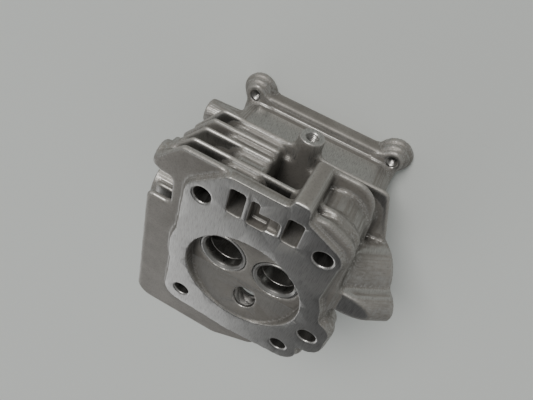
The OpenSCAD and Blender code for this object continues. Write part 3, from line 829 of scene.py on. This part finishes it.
def castingMaterial():
    n = Nodes("cast_aluminium_skin")
    milled = n.attribute("machined")
    hollow = n.attribute("hollow")
    patches = n.noise(70, 5, 0.6)
    grainFine = n.noise(2600, 3, 0.6)
    grainCoarse = n.noise(950, 5, 0.62)
    # cast colour: patchy grey, a painted highlight lighter on edges, painted shade darker in corners and recesses
    colour = n.mix(n.ramp(patches, 0.35, 0.7), skin["cast"], skin["castLight"])
    # painted shade: darker where the metal closes round the point, in corners, recesses and fin gaps
    colour = n.mix(n.ramp(hollow, 0.53, 0.8, 0.0, 0.9), colour, skin["darkMarksAndShade"])
    # painted highlight: lighter where the metal thins out, on outer edges and fin tips
    colour = n.mix(n.ramp(hollow, 0.42, 0.2, 0.0, 0.6), colour, skin["castEdgeHighlight"])
    # the same dark colour in coarse grain spots, the cast skin's own tone
    colour = n.mix(n.ramp(grainCoarse, 0.5, 0.72, 0.0, 0.35), colour, skin["darkMarksAndShade"])
    # machined colour, with faint sweeping tool marks
    where = n.make("ShaderNodeTexCoord", result=3)
    sweep = n.make("ShaderNodeVectorMath", {0: where, 1: (0.09, 0.16, 0.0)}, result=1, operation="DISTANCE")
    marks = n.make("ShaderNodeTexNoise", {"W": sweep, "Scale": 3400, "Detail": 3, "Roughness": 0.7},
                   noise_dimensions="1D")
    bright = n.mix(n.ramp(marks, 0.35, 0.7), skin["milledDark"], skin["milled"])
    streaks = n.noise(1.0, 3, 0.6, stretch=(2600, 160, 400))
    bright = n.mix(n.ramp(streaks, 0.45, 0.75, 0.0, 0.5), bright, skin["darkMarksAndShade"])
    colour = n.mix(milled, colour, bright)
    rough = n.ramp(grainFine, 0.3, 0.7, skin["castRough"] - 0.06, skin["castRough"] + 0.1)
    roughMilled = n.ramp(marks, 0.3, 0.7, skin["milledRough"] - 0.06, skin["milledRough"] + 0.06)
    blend = n.make("ShaderNodeMix", {0: milled, 2: rough, 3: roughMilled}, data_type="FLOAT")
    metal = n.ramp(milled, 0, 1, skin["castMetal"], skin["milledMetal"])
    notMilled = n.sum("SUBTRACT", 1.0, milled, True)
    pits = n.sum("MULTIPLY", n.ramp(grainCoarse, 0.3, 0.75), notMilled)
    grain = n.sum("MULTIPLY", grainFine, notMilled)
    lines = n.sum("MULTIPLY", marks, milled)
    bump = n.make("ShaderNodeBump", {"Strength": 0.5, "Distance": skin["pits"], "Height": pits})
    bump = n.make("ShaderNodeBump", {"Strength": 0.55, "Distance": skin["grain"], "Height": grain, "Normal": bump})
    bump = n.make("ShaderNodeBump", {"Strength": 0.3, "Distance": skin["marks"], "Height": lines, "Normal": bump})
    for name, value in (("Base Color", colour), ("Roughness", blend), ("Metallic", metal), ("Normal", bump)):
        n.put(n.shader.inputs[name], value)
    return n.material


turnedIron = dict(seat=(0.30, 0.292, 0.28, 1), seatDark=(0.24, 0.235, 0.23, 1),
                  guide=(0.26, 0.25, 0.24, 1),
                  clip=(0.10, 0.10, 0.105, 1), thread=(0.33, 0.32, 0.305, 1))


def turnedMaterial(name, light, dark, rough, axis=None, metal=1.0):
    # fine rings left by turning: noise along the distance from the piece's own axis
    n = Nodes(name)
    spots = n.noise(420, 4, 0.6)
    colour = n.mix(n.ramp(spots, 0.4, 0.7), light, dark)
    bump = None
    if axis is not None:
        where = n.make("ShaderNodeTexCoord", result=3)
        flat = n.make("ShaderNodeVectorMath", {0: where, 1: (1, 1, 0)}, operation="MULTIPLY")
        ring = n.make("ShaderNodeVectorMath", {0: flat, 1: axis}, result=1, operation="DISTANCE")
        lines = n.make("ShaderNodeTexNoise", {"W": ring, "Scale": 9000, "Detail": 2}, noise_dimensions="1D")
        bump = n.make("ShaderNodeBump", {"Strength": 0.35, "Distance": 0.00001, "Height": lines})
    roughness = n.ramp(spots, 0.3, 0.7, rough - 0.05, rough + 0.08)
    for key, value in (("Base Color", colour), ("Roughness", roughness), ("Metallic", metal), ("Normal", bump)):
        if value is not None:
            n.put(n.shader.inputs[key], value)
    return n.material


def dress(piece, material):
    piece.data.materials.clear()
    piece.data.materials.append(material)


aluminium = castingMaterial()
dress(castingSkin, aluminium)
valveAxis = {s: (s * c["valveX"] / 1000, -c["valveY"] / 1000, 0.0) for s in (1, -1)}
t = turnedIron
dress(intakeSeat, turnedMaterial("intake_seat_metal", t["seat"], t["seatDark"], 0.3, valveAxis[1]))
dress(exhaustSeat, turnedMaterial("exhaust_seat_metal", t["seat"], t["seatDark"], 0.3, valveAxis[-1]))
dress(threadWalls, turnedMaterial("thread_metal", t["thread"], t["seatDark"], 0.34))
guideMetal = turnedMaterial("guide_metal", t["guide"], t["seatDark"], 0.45)
clipMetal = turnedMaterial("clip_metal", t["clip"], t["clip"], 0.4)

for piece, node, slotName in ((castingSkin, "casting", "cast_aluminium"),
                              (intakeSeat, "intake_seat", "seat_iron"),
                              (exhaustSeat, "exhaust_seat", "seat_iron"),
                              (threadWalls, None, "cast_aluminium")):
    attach(piece, "root")
    if node:
        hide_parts(node)

for name, metal in (("intake_guide", guideMetal), ("exhaust_guide", guideMetal), ("guide_clip", clipMetal)):
    dress(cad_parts[name], metal)
print("materials set")

# floor, light and camera

studio = dict(floor=(0.615, 0.635, 0.62, 1), floorHalf=40.0, drop=-0.078,
              bright=(0.40, 0.41, 0.405, 1), dim=(0.05, 0.05, 0.055, 1), dimSide=(-0.14, 0.62, 0.76),
              dimFrom=0.80, dimTo=0.985)


def makeStudio():
    half, z = studio["floorHalf"], studio["drop"]
    corners = np.array([(-half, -half, z), (half, -half, z), (half, half, z), (-half, half, z)])
    floor = newMesh("floor", corners, np.array([[0, 1, 2, 3]]))
    n = Nodes("floor_paper")
    n.put(n.shader.inputs["Base Color"], studio["floor"])
    n.put(n.shader.inputs["Roughness"], 0.85)
    n.put(n.shader.inputs["Specular IOR Level"], 0.1)
    floor.data.materials.append(n.material)
    world = bpy.data.worlds.new("studio")
    bpy.context.scene.world = world
    world.use_nodes = True
    # a room that is darker on one side: the mix follows the cosine to that side
    tree = world.node_tree
    where = tree.nodes.new("ShaderNodeTexCoord")
    along = tree.nodes.new("ShaderNodeVectorMath")
    along.operation = "DOT_PRODUCT"
    tree.links.new(where.outputs["Generated"], along.inputs[0])
    along.inputs[1].default_value = Vector(studio["dimSide"]).normalized()
    share = tree.nodes.new("ShaderNodeMapRange")
    share.interpolation_type = "SMOOTHSTEP"
    share.inputs["From Min"].default_value = studio["dimFrom"]
    share.inputs["From Max"].default_value = studio["dimTo"]
    tree.links.new(along.outputs["Value"], share.inputs["Value"])
    mix = tree.nodes.new("ShaderNodeMix")
    mix.data_type = "RGBA"
    colours = [q for q in mix.inputs if q.type == "RGBA"]
    tree.links.new(share.outputs[0], mix.inputs[0])
    colours[0].default_value, colours[1].default_value = studio["bright"], studio["dim"]
    tree.links.new([q for q in mix.outputs if q.type == "RGBA"][0], tree.nodes["Background"].inputs[0])


# soft suns: where they shine from, how wide they are in degrees, and how strong
lights = dict(
    key=dict(place=(0.3, -0.76, 0.6), angle=30, power=2.5, colour=(1.0, 0.985, 0.955)),
    sheen=dict(place=(0.42, 0.84, 0.30), angle=45, power=0.5, colour=(0.98, 0.99, 1.0)))


def makeLights():
    for name, v in lights.items():
        data = bpy.data.lights.new(name, "SUN")
        data.angle, data.energy, data.color = math.radians(v["angle"]), v["power"], v["colour"]
        lamp = bpy.data.objects.new(name, data)
        bpy.context.scene.collection.objects.link(lamp)
        lamp.rotation_euler = Vector(v["place"]).to_track_quat("Z", "Y").to_euler()


view = dict(place=(-0.0229, -0.2009, 0.1233), right=(-0.8766, -0.2306, -0.4223),
            up=(0.462, -0.6484, -0.605), back=(-0.1343, -0.7255, 0.675),
            lens=29.11, sensor=36.0, nearest=0.01, farthest=200.0)


def makeCamera():
    data = bpy.data.cameras.new("camera")
    data.lens, data.sensor_width = view["lens"], view["sensor"]
    data.clip_start, data.clip_end = view["nearest"], view["farthest"]
    camera = bpy.data.objects.new("camera", data)
    turn = Matrix((view["right"], view["up"], view["back"])).transposed().to_4x4()
    camera.matrix_world = Matrix.Translation(view["place"]) @ turn
    bpy.context.scene.collection.objects.link(camera)
    bpy.context.scene.camera = camera


makeStudio()
makeLights()
makeCamera()
